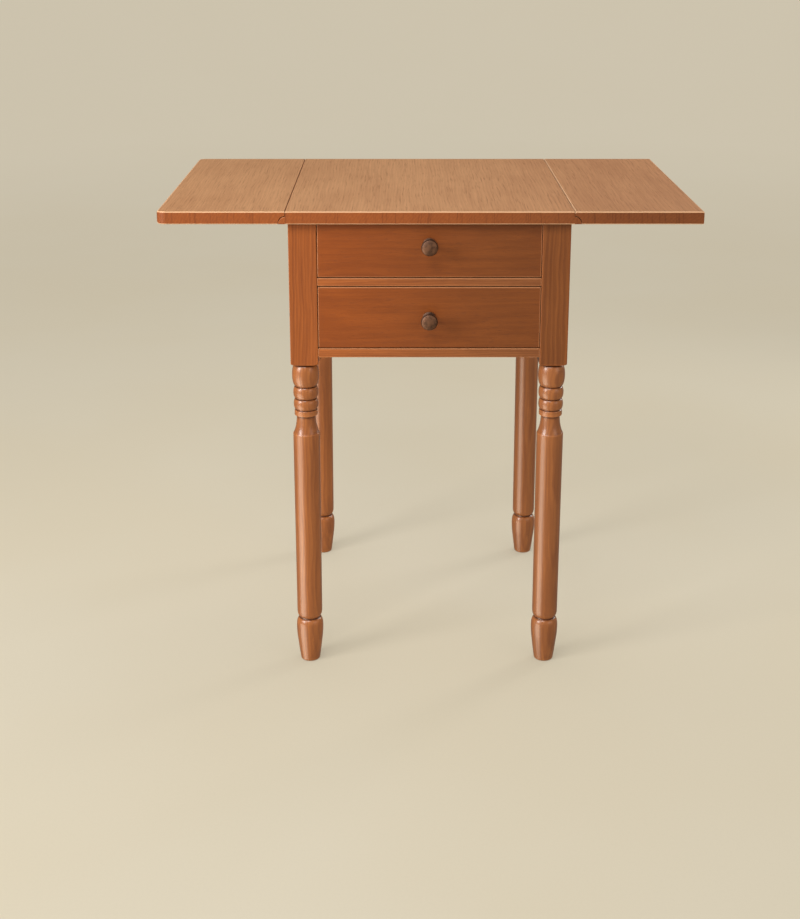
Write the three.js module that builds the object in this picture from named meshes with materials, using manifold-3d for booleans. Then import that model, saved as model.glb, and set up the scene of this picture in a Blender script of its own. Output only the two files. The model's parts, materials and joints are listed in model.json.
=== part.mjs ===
// Drop-leaf sewing table: four turned legs, a case with two dovetailed drawers, a centre top board
// and two leaves on rule joints, each leaf with a swinging fly bracket.
// Millimetres, +Z up, +X to the right of the drawer fronts, the drawers open towards -Y.
// The origin is on the floor, under the middle of the whole table.
import * as THREE from 'three';
import { mergeVertices } from 'three/addons/utils/BufferGeometryUtils.js';
import Module from 'manifold-3d';

const wasm = await Module();
wasm.setup();

// ---------------------------------------------------------------- driving dimensions
const HEIGHT = 740;            // floor to the top surface
const TOP_T = 19;              // thickness of the top boards
const TOP_FRONT = -236;        // front edge of the top
const TOP_REAR = 252;          // rear edge of the top
const SEAM_X = 212.5;           // rule joint seams, also the hinge pin lines
const LEAF_W = 189.5;           // each leaf, seam to outer edge
const LEAF_CORNER_R = 15;      // outer corners of the left leaf
const RULE_R = 10;             // ovolo of the rule joint
const RULE_GAP = 0.625;        // play between ovolo and cove

const CASE_X = 209.5;          // outer faces of the posts
const CASE_FRONT = -224;       // front faces of the front posts
const CASE_REAR = 236;         // rear faces of the rear posts
const POST = 42;               // post section
const POST_BOTTOM = 499.5;     // square part of the leg starts here

const RAIL_FRONT = -223.25;    // front faces of the rails
const RAIL_BACK = -178;
const DRAWER_FACE = -223;      // faces of the drawer fronts
const RAIL_LOW = [513.5, 527.5];// bottom rail, height range
const RAIL_MID = [624.25, 636.5];
const FRONT_LOW = [529, 622.75];
const FRONT_TOP = [638, 719.5];

const APRON_T = 24;            // side aprons
const APRON_OUT = 204.5;       // outer faces of the side aprons
const BACK_APRON = [213, 231]; // back apron, depth range
const TENON_L = 17.5;
const MORTISE_L = 18;
const SIDE_TENONS = [[527, 600], [625, 705]]; // mortise heights of the aprons
const LOW_TENON = [516.5, 524.5];
const MID_TENON = [626.5, 634.5];
const TENON_PLAY = 0.25;

const BRACKET_L = 165;         // fly bracket, pin to free end
const BRACKET_T = 13.2;
const BRACKET_X = 197.5;       // fly pin line
const RECESS_BACK = 190.5;     // back wall of the bracket's rebate
const RECESS_Y = [-46, 172];
const RECESS_Z = 658;
const FLY_PIN_R = 2.25;

const HINGE_Y = [-150, 196];   // middle of the front and the rear hinge
const HINGE_W = 35;
const HINGE_R = 3;             // knuckle radius
const HINGE_PIN_R = 1.5;
const HINGE_PLATE_T = 1.75;
const PLATE_IN = 180.5;        // inner end of the fixed plate
const STRAP_L = 50;            // strap length on the leaf

const DRAWER_X = 166.75;       // half width of a drawer
const DRAWER_L = 423;          // face to back
const SIDE_T = 11;
const FRONT_T = 19;
const BACK_T = 10;
const LAP = 7;                 // wood left in front of the dovetails
const PANEL_T = 6.5;
const KNOB_R = 12.5;
const KNOB_Z = { top: 688, bottom: 575 };
const KNOB_L = 29;

const UNDER = HEIGHT - TOP_T;  // underside of the top
const PIN_Z = UNDER + 1.25;    // height of the hinge pins

// ---------------------------------------------------------------- materials
const wood = (color, roughness) => new THREE.MeshStandardMaterial({ color, roughness, metalness: 0 });
const legWood = () => wood(0xa4643a, 0.42);
const caseWood = () => wood(0x9c5c34, 0.45);
const frontWood = () => wood(0xa86a3e, 0.42);
const topWood = () => wood(0xc39a6e, 0.4);
const innerWood = () => wood(0xc7a779, 0.7);
const brass = () => new THREE.MeshStandardMaterial({ color: 0x8a6a3a, roughness: 0.4, metalness: 0.9 });
const steel = () => new THREE.MeshStandardMaterial({ color: 0x6d6a66, roughness: 0.45, metalness: 0.9 });
const bronze = () => new THREE.MeshStandardMaterial({ color: 0x5a3a22, roughness: 0.35, metalness: 0.6 });

// ---------------------------------------------------------------- solids
function solid(geometry) {
  const g = geometry.clone();
  g.deleteAttribute('normal');
  g.deleteAttribute('uv');
  const merged = mergeVertices(g, 1e-4);
  const src = merged.index.array;
  const tris = [];
  for (let i = 0; i < src.length; i += 3) {
    const [a, b, c] = [src[i], src[i + 1], src[i + 2]];
    if (a !== b && b !== c && a !== c) tris.push(a, b, c);
  }
  const make = (list) => new wasm.Manifold(new wasm.Mesh({
    numProp: 3, vertProperties: merged.attributes.position.array, triVerts: new Uint32Array(list),
  }));
  const first = make(tris);
  if (first.volume() > 0) return first;
  for (let i = 0; i < tris.length; i += 3) [tris[i + 1], tris[i + 2]] = [tris[i + 2], tris[i + 1]];
  return make(tris);
}

function box(x0, x1, y0, y1, z0, z1) {
  const [xa, xb] = x0 < x1 ? [x0, x1] : [x1, x0];
  return solid(new THREE.BoxGeometry(xb - xa, y1 - y0, z1 - z0)
    .translate((xa + xb) / 2, (y0 + y1) / 2, (z0 + z1) / 2));
}

// Turned solid about Z from [radius, height] pairs that start and end on the axis.
function turned(profile, segments) {
  return solid(new THREE.LatheGeometry(profile.map(([r, z]) => new THREE.Vector2(r, z)), segments)
    .rotateX(Math.PI / 2));
}

// Straight rod along Z, X or Y.
function rod(axis, radius, from, to, a, b, segments = 12) {
  const g = new THREE.CylinderGeometry(radius, radius, to - from, segments);
  const mid = (from + to) / 2;
  if (axis === 'z') g.rotateX(Math.PI / 2).translate(a, b, mid);
  if (axis === 'y') g.translate(a, mid, b);
  return solid(g);
}

// Outline in the X-Z plane, swept along Y.
function prismY(points, y0, y1) {
  const shape = new THREE.Shape(points.map(([x, z]) => new THREE.Vector2(x, z)));
  const g = new THREE.ExtrudeGeometry(shape, { depth: y1 - y0, bevelEnabled: false });
  return solid(g.rotateX(Math.PI / 2).translate(0, y1, 0));
}

// Outline in the Y-Z plane, swept along X.
function prismX(points, x0, x1) {
  const shape = new THREE.Shape(points.map(([y, z]) => new THREE.Vector2(y, z)));
  const g = new THREE.ExtrudeGeometry(shape, { depth: x1 - x0, bevelEnabled: false });
  const m = new THREE.Matrix4().set(0, 0, 1, x0, 1, 0, 0, 0, 0, 1, 0, 0, 0, 0, 0, 1);
  return solid(g.applyMatrix4(m));
}

function geometryOf(body) {
  const m = body.getMesh();
  const pos = new Float32Array(m.numVert * 3);
  for (let i = 0; i < m.numVert; i++)
    for (let k = 0; k < 3; k++) pos[i * 3 + k] = m.vertProperties[i * m.numProp + k];
  const g = new THREE.BufferGeometry()
    .setAttribute('position', new THREE.BufferAttribute(pos, 3))
    .setIndex(new THREE.BufferAttribute(new Uint32Array(m.triVerts), 1));
  const flat = g.toNonIndexed();
  flat.computeVertexNormals();
  return flat;
}

function mesh(name, body, material, parent, position = [0, 0, 0]) {
  const m = new THREE.Mesh(geometryOf(body), material);
  m.name = name;
  m.position.set(...position);
  parent.add(m);
  return m;
}

const table = new THREE.Group();
const frame = new THREE.Group();
table.add(frame);

// ---------------------------------------------------------------- legs
// Foot, groove, tapered shaft, cavetto neck, fillet, two rings and a ball under the square post.
const LEG_PROFILE = [
  [0, 0], [13, 0], [14.8, 0.9], [15.4, 2.8], [17, 14], [19, 30], [20.6, 44], [21.2, 57],
  [20.6, 66], [18.9, 71], [16.1, 73.6], [16.1, 75.2], [18.4, 78], [19.5, 81.5], [19.85, 86],
  [20.55, 386.5], [18.6, 391], [16.5, 398], [15, 406], [14.45, 416], [17.2, 416.4], [17.75, 417.6],
  [17.75, 424], [15.8, 425.6], [17.9, 428.4], [18.9, 434.5], [17.9, 440.5], [15.8, 443], [18.1, 446.3],
  [19.2, 453], [18.1, 459.8], [15.8, 463], [18.7, 467], [20.4, 474], [20.7, 480.5], [19.6, 489], [15.5, 498],
  [15.5, 507], [0, 507],
];
// Rounding of the post's lower corners.
const POMMEL = [
  [0, POST_BOTTOM], [19, POST_BOTTOM], [22, 499.75], [25, 500.25], [27, 501], [28.3, 502], [29.1, 503.25],
  [29.6, 504.75], [30.2, 507], [30.6, 540], [30.6, UNDER + 1], [0, UNDER + 1],
];
const h = POST / 2;
const postX = CASE_X - h;
const postY = { front: CASE_FRONT + h, rear: CASE_REAR - h };

function leg(sx, end) {
  const sy = end === 'front' ? -1 : 1;
  let s = box(-h, h, -h, h, POST_BOTTOM, UNDER).intersect(turned(POMMEL, 24)).add(turned(LEG_PROFILE, 16));
  // Mortises of the side apron, on the side that faces the other leg of the same side.
  for (const [z0, z1] of SIDE_TENONS) {
    const y = [-sy * (h + 1), -sy * (h - MORTISE_L)].sort((a, b) => a - b);
    s = s.subtract(box(sx * 1, sx * 9, y[0], y[1], z0, z1));
  }
  const xi = [-sx * (h + 1), -sx * (h - MORTISE_L)];
  if (end === 'front') {
    s = s.subtract(box(xi[0], xi[1], -12, 14, ...LOW_TENON));
    s = s.subtract(box(xi[0], xi[1], -12, 14, ...MID_TENON));
  } else {
    for (const [z0, z1] of SIDE_TENONS)
      s = s.subtract(box(xi[0], xi[1], 4, 12, z0, z1));
  }
  return s;
}
for (const [side, sx] of [['left', -1], ['right', 1]])
  for (const end of ['front', 'rear'])
    mesh(`leg_${end}_${side}`, leg(sx, end), legWood(), frame, [sx * postX, postY[end], 0]);

// ---------------------------------------------------------------- aprons and rails
const sideY = [CASE_FRONT + POST, CASE_REAR - POST];
for (const [side, sx] of [['left', -1], ['right', 1]]) {
  const inner = APRON_OUT - APRON_T;
  let s = box(sx * inner, sx * APRON_OUT, sideY[0], sideY[1], RAIL_LOW[0], UNDER);
  for (const [z0, z1] of SIDE_TENONS.map(([a, b]) => [a + TENON_PLAY, b - TENON_PLAY]))
    s = s.add(box(sx * (postX + 1.25), sx * (postX + 8.75), sideY[0] - TENON_L, sideY[1] + TENON_L, z0, z1));
  s = s.subtract(box(sx * RECESS_BACK, sx * (APRON_OUT + 1), RECESS_Y[0], RECESS_Y[1], RECESS_Z, UNDER + 1));
  mesh(`side_apron_${side}`, s, caseWood(), frame);
}
{
  const x = CASE_X - POST;
  let s = box(-x, x, BACK_APRON[0], BACK_APRON[1], RAIL_LOW[0], UNDER);
  for (const [z0, z1] of SIDE_TENONS.map(([a, b]) => [a + TENON_PLAY, b - TENON_PLAY]))
    s = s.add(box(-x - TENON_L, x + TENON_L, postY.rear + 4.25, postY.rear + 11.75, z0, z1));
  mesh('back_apron', s, caseWood(), frame);
  for (const [name, [z0, z1], t] of [
    ['bottom_front_rail', RAIL_LOW, LOW_TENON],
    ['drawer_divider_rail', RAIL_MID, MID_TENON],
  ]) {
    const r = box(-x, x, RAIL_FRONT, RAIL_BACK, z0, z1)
      .add(box(-x - TENON_L, x + TENON_L, postY.front - 11.75, postY.front + 13.75,
        t[0] + TENON_PLAY, t[1] - TENON_PLAY));
    mesh(name, r, caseWood(), frame);
  }
}

// ---------------------------------------------------------------- runners, guides, kickers, stops
const inApron = APRON_OUT - APRON_T;
const inPost = CASE_X - POST;
const SCREW_Y = [-150, 150];
const SCREW_X = 155;
const RUNNER_X = 143;
const KICKER_Z = UNDER - 14;
for (const [side, sx] of [['left', -1], ['right', 1]]) {
  for (const [level, z0, z1] of [['upper', 624.5, RAIL_MID[1]], ['lower', 515.5, RAIL_LOW[1]]]) {
    const s = box(sx * RUNNER_X, sx * (inPost - 0.25), RAIL_BACK, BACK_APRON[0], z0, z1)
      .add(box(sx * RUNNER_X, sx * inApron, RAIL_BACK, sideY[1], z0, z1));
    mesh(`runner_${level}_${side}`, s, innerWood(), frame);
    mesh(`guide_${level}_${side}`,
      box(sx * (inPost + 0.25), sx * inApron, sideY[0], sideY[1], z1, z1 + 17.5), innerWood(), frame);
    mesh(`drawer_stop_${level}_${side}`, box(sx * 60, sx * 90, -203.5, -185, z1, z1 + 5), innerWood(), frame);
  }
  let k = box(sx * RUNNER_X, sx * (inPost - 0.25), -195, BACK_APRON[0], KICKER_Z, UNDER);
  for (const y of SCREW_Y)
    k = k.subtract(rod('z', 2.7, KICKER_Z - 1, UNDER + 1, sx * SCREW_X, y)).subtract(rod('z', 5, KICKER_Z - 1, KICKER_Z + 3.5, sx * SCREW_X, y));
  mesh(`kicker_${side}`, k, innerWood(), frame);
  SCREW_Y.forEach((y, i) => {
    const s = rod('z', 4.4, KICKER_Z + 0.5, KICKER_Z + 3.25, sx * SCREW_X, y, 12).add(rod('z', 2.2, KICKER_Z + 1, UNDER + 11, sx * SCREW_X, y, 10))
      .subtract(box(sx * SCREW_X - 5, sx * SCREW_X + 5, y - 0.5, y + 0.5, KICKER_Z, KICKER_Z + 1.5));
    mesh(`top_screw_${i ? 'rear' : 'front'}_${side}`, s, steel(), frame);
  });
}

// ---------------------------------------------------------------- centre board of the top
function arc(cx, cz, r, from, to, steps) {
  const out = [];
  for (let i = 0; i <= steps; i++) {
    const a = THREE.MathUtils.degToRad(from + (to - from) * i / steps);
    out.push([cx + r * Math.cos(a), cz + r * Math.sin(a)]);
  }
  return out;
}
{
  const right = [...arc(SEAM_X, PIN_Z, RULE_R, 90, 0, 6), [SEAM_X + RULE_R, UNDER]];
  const outline = [[SEAM_X, HEIGHT], ...right, ...right.map(([x, z]) => [-x, z]).reverse(), [-SEAM_X, HEIGHT]];
  let s = prismY(outline, TOP_FRONT, TOP_REAR);
  for (const sx of [-1, 1])
    for (const y of HINGE_Y) {
      const w = HINGE_W / 2 + 0.25;
      s = s.subtract(box(sx * (PLATE_IN - 0.25), sx * (SEAM_X + RULE_R + 1), y - w, y + w, UNDER - 1, UNDER + 2))
        .subtract(rod('y', HINGE_R + 0.6, y - w, y + w, sx * SEAM_X, PIN_Z, 12));
    }
  for (const sx of [-1, 1])
    for (const y of SCREW_Y) s = s.subtract(rod('z', 2.5, UNDER - 1, UNDER + 12, sx * SCREW_X, y, 12));
  mesh('top_center_board', s, topWood(), frame);
}

// ---------------------------------------------------------------- drop-leaf hinges
// Five knuckles: the fixed plate has the first, third and fifth, the strap the second and fourth.
const KNUCKLE = HINGE_W / 5;
function hingeHalf(own, from, to, y0) {
  const z0 = UNDER - PIN_Z;
  let s = box(from, to, y0 - HINGE_W / 2, y0 + HINGE_W / 2, z0, z0 + HINGE_PLATE_T);
  for (let i = 0; i < 5; i++) {
    const a = y0 - HINGE_W / 2 + i * KNUCKLE, b = a + KNUCKLE;
    s = i % 2 === own ? s.add(rod('y', HINGE_R, a + (i ? 0.15 : 0), b - (i < 4 ? 0.15 : 0), 0, 0, 12))
      : s.subtract(rod('y', HINGE_R + 0.4, a - 0.15, b + 0.15, 0, 0, 12));
  }
  return s.subtract(rod('y', HINGE_PIN_R + 0.3, y0 - 20, y0 + 20, 0, 0, 12));
}
for (const [side, sx] of [['left', -1], ['right', 1]])
  HINGE_Y.forEach((y, i) => {
    const end = i ? 'rear' : 'front';
    const at = [sx * SEAM_X, 0, PIN_Z];
    mesh(`hinge_plate_${end}_${side}`, hingeHalf(0, -sx * (SEAM_X - PLATE_IN), 0, y), brass(), frame, at);
    mesh(`hinge_pin_${end}_${side}`, rod('y', HINGE_PIN_R, y - 17.25, y + 17.25, 0, 0, 12), steel(), frame, at);
  });

// ---------------------------------------------------------------- leaves
for (const [side, sx] of [['left', -1], ['right', 1]]) {
  const leaf = new THREE.Group();
  leaf.position.set(sx * SEAM_X, 0, PIN_Z);
  table.add(leaf);
  const r = RULE_R + RULE_GAP;
  const up = HEIGHT - PIN_Z, down = UNDER - PIN_Z;
  const first = THREE.MathUtils.radToDeg(Math.acos(RULE_GAP / r));
  const cove = arc(0, 0, r, 0, first, 6);
  const outline = [[LEAF_W, up], [LEAF_W, down], [r, down], ...cove, [RULE_GAP, up]];
  let s = prismY(outline.map(([x, z]) => [sx * x, z]), TOP_FRONT, TOP_REAR);
  if (side === 'left') {
    const c = LEAF_CORNER_R, w = LEAF_W;
    const plan = new THREE.Shape();
    plan.moveTo(5, TOP_FRONT - 5);
    plan.lineTo(-w + c, TOP_FRONT - 5);
    plan.lineTo(-w + c, TOP_FRONT);
    plan.absarc(-w + c, TOP_FRONT + c, c, 1.5 * Math.PI, Math.PI, true);
    plan.lineTo(-w, TOP_REAR - c);
    plan.absarc(-w + c, TOP_REAR - c, c, Math.PI, 0.5 * Math.PI, true);
    plan.lineTo(-w + c, TOP_REAR + 5);
    plan.lineTo(5, TOP_REAR + 5);
    plan.closePath();
    s = s.intersect(solid(new THREE.ExtrudeGeometry(plan, { depth: 40, bevelEnabled: false, curveSegments: 8 })
      .translate(0, 0, -20)));
  }
  for (const y of HINGE_Y) {
    const w = HINGE_W / 2 + 0.25;
    s = s.subtract(box(sx * (r - 1), sx * (STRAP_L + 0.25), y - w, y + w, down - 1, down + 2));
  }
  mesh(`leaf_board_${side}`, s, topWood(), leaf);
  HINGE_Y.forEach((y, i) => {
    mesh(`hinge_strap_${i ? 'rear' : 'front'}_${side}`, hingeHalf(1, 0, sx * STRAP_L, y), brass(), leaf);
  });
}

// ---------------------------------------------------------------- fly brackets
// A knuckle joint in wood: the block has the top and bottom fingers, the bracket the middle one.
const KN = BRACKET_T / 2;
for (const [side, sx] of [['left', -1], ['right', 1]]) {
  const at = [sx * BRACKET_X, 0, 0];
  const back = -sx * (BRACKET_X - RECESS_BACK);
  const body = KN + 0.65;
  const fingers = [[RECESS_Z, UNDER - 42.25], [UNDER - 20.75, UNDER]];
  let block = box(back, sx * KN, RECESS_Y[0], -body, RECESS_Z, UNDER);
  for (const [z0, z1] of fingers)
    block = block.add(box(-KN, KN, -body - 1, 0, z0, z1)).add(rod('z', KN, z0, z1, 0, 0, 16));
  block = block.subtract(rod('z', FLY_PIN_R + 0.35, RECESS_Z - 1, UNDER + 1, 0, 0));
  mesh(`fly_block_${side}`, block, caseWood(), frame, at);
  mesh(`fly_pin_${side}`, rod('z', FLY_PIN_R, RECESS_Z + 1, UNDER - 0.5, 0, 0, 12), steel(), frame, at);

  const arm = new THREE.Group();
  arm.position.set(...at);
  table.add(arm);
  const top = UNDER - 1.5, low = RECESS_Z + 0.5;
  const ogee = new THREE.CubicBezierCurve(new THREE.Vector2(46, low), new THREE.Vector2(92, low),
    new THREE.Vector2(84, UNDER - 24), new THREE.Vector2(BRACKET_L - 8, UNDER - 22)).getPoints(10).map((p) => [p.x, p.y]);
  let s = prismX([[body, low], ...ogee, [BRACKET_L - 3, UNDER - 20], [BRACKET_L, UNDER - 15], [BRACKET_L, top], [body, top]], -KN, KN);
  s = s.add(box(-KN, KN, 0, body + 1, UNDER - 41.75, UNDER - 21.25)).add(rod('z', KN, UNDER - 41.75, UNDER - 21.25, 0, 0, 16))
    .subtract(rod('z', FLY_PIN_R + 0.35, RECESS_Z - 1, UNDER + 1, 0, 0));
  mesh(`fly_bracket_${side}`, s, caseWood(), arm);
}

// ---------------------------------------------------------------- drawers
// Dovetailed boxes: sides with tails at both ends, sockets in the front, pins on the back,
// and a loose bottom in grooves, under the back.
const KNOB_PROFILE = [
  [0, -14], [3.6, -14], [3.9, -13.4], [3.9, 0], [10, 0], [10.25, 1.2], [9.4, 2.8], [7, 4], [5.6, 6.4], [5.1, 10],
  [5.7, 14.4], [8, 17.6], [11.2, 19.5], [KNOB_R - 0.3, 21.3], [KNOB_R, 23.1], [12.2, 25.4], [9.6, 27.4],
  [5.5, KNOB_L - 0.4], [0, KNOB_L],
];
function drawer(name, [z0, z1], sideTop, tailCentres, knobZ) {
  const g = new THREE.Group();
  g.position.set(0, DRAWER_FACE, z0);
  table.add(g);
  const sideLow = -1.25, sideHigh = sideTop - z0;
  const half = 7, flareF = (FRONT_T - LAP) / 7, flareB = BACK_T / 7;
  const backIn = DRAWER_L - BACK_T;
  const panel = [8.5, 8.5 + PANEL_T];
  const inner = DRAWER_X - SIDE_T;
  const groove = 5;

  const outline = [[FRONT_T, sideLow]];
  for (const c of tailCentres)
    outline.push([FRONT_T, c - half], [LAP + 0.2, c - half - flareF], [LAP + 0.2, c + half + flareF], [FRONT_T, c + half]);
  outline.push([FRONT_T, sideHigh], [backIn, sideHigh]);
  for (const c of [...tailCentres].reverse())
    outline.push([backIn, c + half], [DRAWER_L, c + half + flareB], [DRAWER_L, c - half - flareB], [backIn, c - half]);
  outline.push([backIn, sideLow]);
  const p = 0.2;
  for (const [side, sx] of [['left', -1], ['right', 1]]) {
    const x = [sx * inner, sx * DRAWER_X].sort((a, b) => a - b);
    const s = prismX(outline, x[0], x[1])
      .subtract(box(sx * (inner - 1), sx * (inner + groove + 0.25), 0, DRAWER_L + 1, panel[0] - p, panel[1] + p));
    mesh(`${name}_side_${side}`, s, innerWood(), g);
  }

  let front = box(-DRAWER_X, DRAWER_X, 0, FRONT_T, 0, z1 - z0);
  let back = box(-DRAWER_X, DRAWER_X, backIn, DRAWER_L, panel[1] + 0.25, sideHigh - 5);
  for (const sx of [-1, 1]) {
    const x = [sx * (inner - p), sx * (DRAWER_X + 1)].sort((a, b) => a - b);
    for (const c of tailCentres) {
      front = front.subtract(prismX([[FRONT_T + 1, c - half - p], [FRONT_T, c - half - p], [LAP, c - half - flareF - p],
        [LAP, c + half + flareF + p], [FRONT_T, c + half + p], [FRONT_T + 1, c + half + p]], x[0], x[1]));
      back = back.subtract(prismX([[backIn - 1, c - half - p], [backIn, c - half - p], [DRAWER_L, c - half - flareB - p],
        [DRAWER_L + 1, c - half - flareB - p], [DRAWER_L + 1, c + half + flareB + p], [DRAWER_L, c + half + flareB + p],
        [backIn, c + half + p], [backIn - 1, c + half + p]], x[0], x[1]));
    }
  }
  front = front.subtract(box(-inner - groove - 0.25, inner + groove + 0.25, FRONT_T - groove - 0.25, FRONT_T + 1,
    panel[0] - p, panel[1] + p)).subtract(rod('y', 4.2, -1, 14.5, 0, knobZ - z0));
  mesh(`${name}_front`, front, frontWood(), g);
  mesh(`${name}_back`, back, innerWood(), g);
  mesh(`${name}_bottom`, box(-inner - groove, inner + groove, FRONT_T - groove, DRAWER_L - 0.25, panel[0], panel[1]),
    innerWood(), g);
  const knob = mesh(`${name}_knob`, turned(KNOB_PROFILE, 16), bronze(), g, [0, 0, knobZ - z0]);
  knob.rotation.x = Math.PI / 2;
}
drawer('drawer_top', FRONT_TOP, KICKER_Z - 2.5, [13.5, 33.5, 53.5], KNOB_Z.top);
drawer('drawer_bottom', FRONT_LOW, 616.5, [13.5, 35, 56.5, 77], KNOB_Z.bottom);

export default table;
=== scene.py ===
# Looks of the drop-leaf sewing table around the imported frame. Metres, +Z up, drawers towards -Y.
import math
import bpy
import bmesh
import numpy as np
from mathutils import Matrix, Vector
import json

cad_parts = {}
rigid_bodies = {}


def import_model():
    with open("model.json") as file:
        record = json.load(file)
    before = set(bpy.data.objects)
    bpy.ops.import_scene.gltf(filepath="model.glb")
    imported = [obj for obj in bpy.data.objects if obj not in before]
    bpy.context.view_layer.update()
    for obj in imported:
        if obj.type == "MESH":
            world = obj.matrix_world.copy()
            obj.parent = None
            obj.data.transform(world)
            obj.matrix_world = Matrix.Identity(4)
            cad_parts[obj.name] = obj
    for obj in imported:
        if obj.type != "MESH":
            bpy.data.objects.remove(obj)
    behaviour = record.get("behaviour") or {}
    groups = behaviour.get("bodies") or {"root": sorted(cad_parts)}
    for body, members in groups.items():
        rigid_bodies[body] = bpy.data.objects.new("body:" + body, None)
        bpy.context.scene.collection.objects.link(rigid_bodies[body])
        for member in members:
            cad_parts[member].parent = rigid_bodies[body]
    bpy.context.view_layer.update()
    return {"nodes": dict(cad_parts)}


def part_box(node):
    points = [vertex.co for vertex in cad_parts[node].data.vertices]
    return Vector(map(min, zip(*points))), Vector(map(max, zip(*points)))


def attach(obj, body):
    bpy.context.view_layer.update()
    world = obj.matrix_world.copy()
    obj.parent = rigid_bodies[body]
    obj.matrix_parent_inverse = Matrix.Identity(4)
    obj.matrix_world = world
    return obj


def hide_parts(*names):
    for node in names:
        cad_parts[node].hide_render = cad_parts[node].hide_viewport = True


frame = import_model()
NODES = frame["nodes"]
MM = 0.001
SIDES = (("left", -1), ("right", 1))
ENDS = ("front", "rear")


# ------------------------------------------------------------------ places taken from the frame
def low(node):
    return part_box(node)[0]


def high(node):
    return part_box(node)[1]


TOP_Z = high("top_center_board").z
UNDER = high("leg_front_left").z
TOP_Y = (low("top_center_board").y, high("top_center_board").y)
PIN_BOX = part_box("hinge_pin_front_right")
SEAM_X = (PIN_BOX[0].x + PIN_BOX[1].x) / 2
PIN_Z = (PIN_BOX[0].z + PIN_BOX[1].z) / 2
RULE_R = high("top_center_board").x - SEAM_X
LEAF_OUT = high("leaf_board_right").x


# ------------------------------------------------------------------ node helpers
class Nodes:
    """A short way to write a material's nodes."""

    def __init__(self, name):
        self.mat = bpy.data.materials.new(name)
        self.mat.use_nodes = True
        self.tree = self.mat.node_tree
        self.tree.nodes.clear()
        self.out = self.tree.nodes.new("ShaderNodeOutputMaterial")
        self.bsdf = self.tree.nodes.new("ShaderNodeBsdfPrincipled")
        self.tree.links.new(self.bsdf.outputs[0], self.out.inputs[0])

    def put(self, socket, value):
        if isinstance(value, bpy.types.NodeSocket):
            self.tree.links.new(value, socket)
        elif value is not None:
            socket.default_value = value

    def math(self, op, a, b=None, c=None, clamp=False):
        n = self.tree.nodes.new("ShaderNodeMath")
        n.operation = op
        n.use_clamp = clamp
        self.put(n.inputs[0], a)
        self.put(n.inputs[1], b)
        self.put(n.inputs[2], c)
        return n.outputs[0]

    def vmath(self, op, a, b=None, c=None):
        n = self.tree.nodes.new("ShaderNodeVectorMath")
        n.operation = op
        self.put(n.inputs[0], a)
        self.put(n.inputs[1], b)
        self.put(n.inputs[2], c)
        return n.outputs["Value" if op in ("LENGTH", "DOT_PRODUCT") else "Vector"]

    def split(self, v):
        n = self.tree.nodes.new("ShaderNodeSeparateXYZ")
        self.put(n.inputs[0], v)
        return n.outputs[0], n.outputs[1], n.outputs[2]

    def join(self, x, y, z):
        n = self.tree.nodes.new("ShaderNodeCombineXYZ")
        self.put(n.inputs[0], x)
        self.put(n.inputs[1], y)
        self.put(n.inputs[2], z)
        return n.outputs[0]

    def noise(self, v, scale=1.0, detail=2.0, rough=0.5, distortion=0.0):
        n = self.tree.nodes.new("ShaderNodeTexNoise")
        n.noise_dimensions = "3D"
        self.put(n.inputs["Vector"], v)
        self.put(n.inputs["Scale"], scale)
        self.put(n.inputs["Detail"], detail)
        self.put(n.inputs["Roughness"], rough)
        self.put(n.inputs["Distortion"], distortion)
        return n.outputs[0]

    def spread(self, value, lo, hi, to_lo=0.0, to_hi=1.0, smooth=True):
        n = self.tree.nodes.new("ShaderNodeMapRange")
        n.interpolation_type = "SMOOTHSTEP" if smooth else "LINEAR"
        n.clamp = True
        self.put(n.inputs[0], value)
        for i, x in enumerate((lo, hi, to_lo, to_hi)):
            self.put(n.inputs[1 + i], x)
        return n.outputs[0]

    def mix(self, factor, a, b, mode="MIX"):
        n = self.tree.nodes.new("ShaderNodeMix")
        n.data_type = "RGBA"
        n.blend_type = mode
        self.put(n.inputs[0], factor)
        self.put(n.inputs[6], a)
        self.put(n.inputs[7], b)
        return n.outputs[2]

    def position(self):
        return self.tree.nodes.new("ShaderNodeTexCoord").outputs["Object"]

    def attribute(self, name):
        n = self.tree.nodes.new("ShaderNodeAttribute")
        n.attribute_type = "GEOMETRY"
        n.attribute_name = name
        return n.outputs["Fac"]

    def occlusion(self, distance, samples=6):
        n = self.tree.nodes.new("ShaderNodeAmbientOcclusion")
        n.samples = samples
        n.only_local = False
        n.inputs["Distance"].default_value = distance
        return n.outputs["AO"]

    def bump(self, height, strength, distance):
        n = self.tree.nodes.new("ShaderNodeBump")
        self.put(n.inputs["Height"], height)
        n.inputs["Strength"].default_value = strength
        n.inputs["Distance"].default_value = distance
        self.tree.links.new(n.outputs[0], self.bsdf.inputs["Normal"])


def srgb(r, g, b):
    out = []
    for c in (r, g, b):
        c /= 255
        out.append(c / 12.92 if c <= 0.04045 else ((c + 0.055) / 1.055) ** 2.4)
    return (*out, 1.0)


def times(colour, k):
    return (*[min(1.0, c * (k[i] if isinstance(k, tuple) else k)) for i, c in enumerate(colour[:3])], 1.0)


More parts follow.
